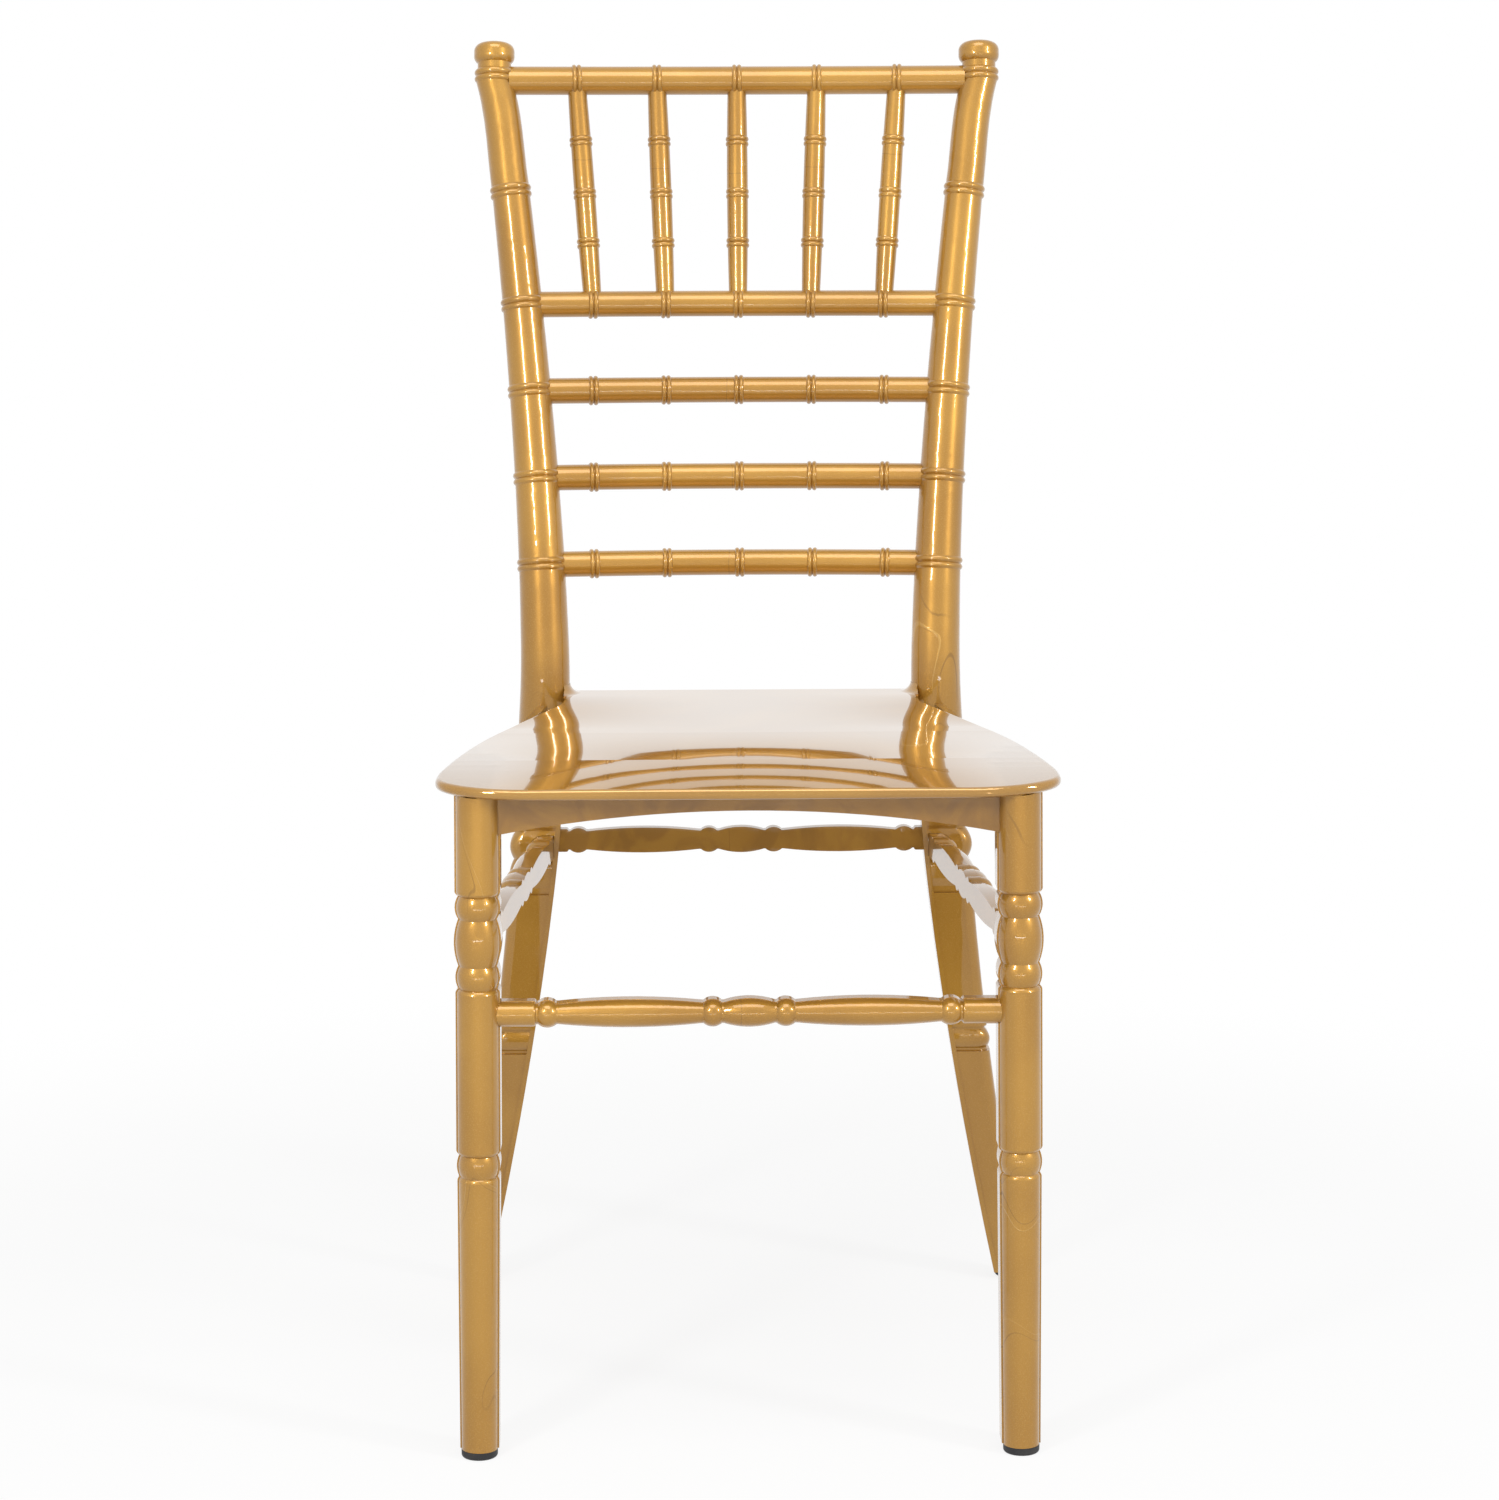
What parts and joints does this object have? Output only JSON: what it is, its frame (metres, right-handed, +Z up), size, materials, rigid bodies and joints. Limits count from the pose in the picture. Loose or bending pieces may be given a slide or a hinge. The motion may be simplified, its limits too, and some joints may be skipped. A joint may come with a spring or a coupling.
{
  "type": "chiavari chair",
  "caption": "Moulded resin side chair in the chiavari style, with turned legs and stretchers, ladder rails, spindles under the top rail and a seat that falls to its front edge.",
  "frame": {"origin": "on the floor, under the middle of the whole chair's box", "axes": "+Z up from the floor to the finials, the chair faces -Y and its back is towards +Y, +X runs from the left side of the picture to the right"},
  "size_m": [0.431, 0.4548, 0.928],
  "materials": {
    "gold_resin": "pearlescent gold, glossy",
    "black_rubber": "matte"
  },
  "bodies": {
    "root": {"top_rail": "gold_resin", "lower_back_rail": "gold_resin", "middle_back_rail": "gold_resin", "upper_back_rail": "gold_resin", "spindle_rail": "gold_resin", "back_spindle_1": "gold_resin", "back_spindle_2": "gold_resin", "back_spindle_3": "gold_resin", "back_spindle_4": "gold_resin", "back_spindle_5": "gold_resin", "front_stretcher": "gold_resin", "rear_stretcher": "gold_resin", "left_side_stretcher": "gold_resin", "right_side_stretcher": "gold_resin", "front_apron": "gold_resin", "rear_apron": "gold_resin", "left_side_apron": "gold_resin", "right_side_apron": "gold_resin", "seat_shell": "gold_resin", "left_rear_post": "gold_resin", "right_rear_post": "gold_resin", "left_front_leg": "gold_resin", "right_front_leg": "gold_resin", "left_front_foot_cap": "black_rubber", "right_front_foot_cap": "black_rubber", "left_rear_foot_cap": "black_rubber", "right_rear_foot_cap": "black_rubber"}
  },
  "joints": []
}
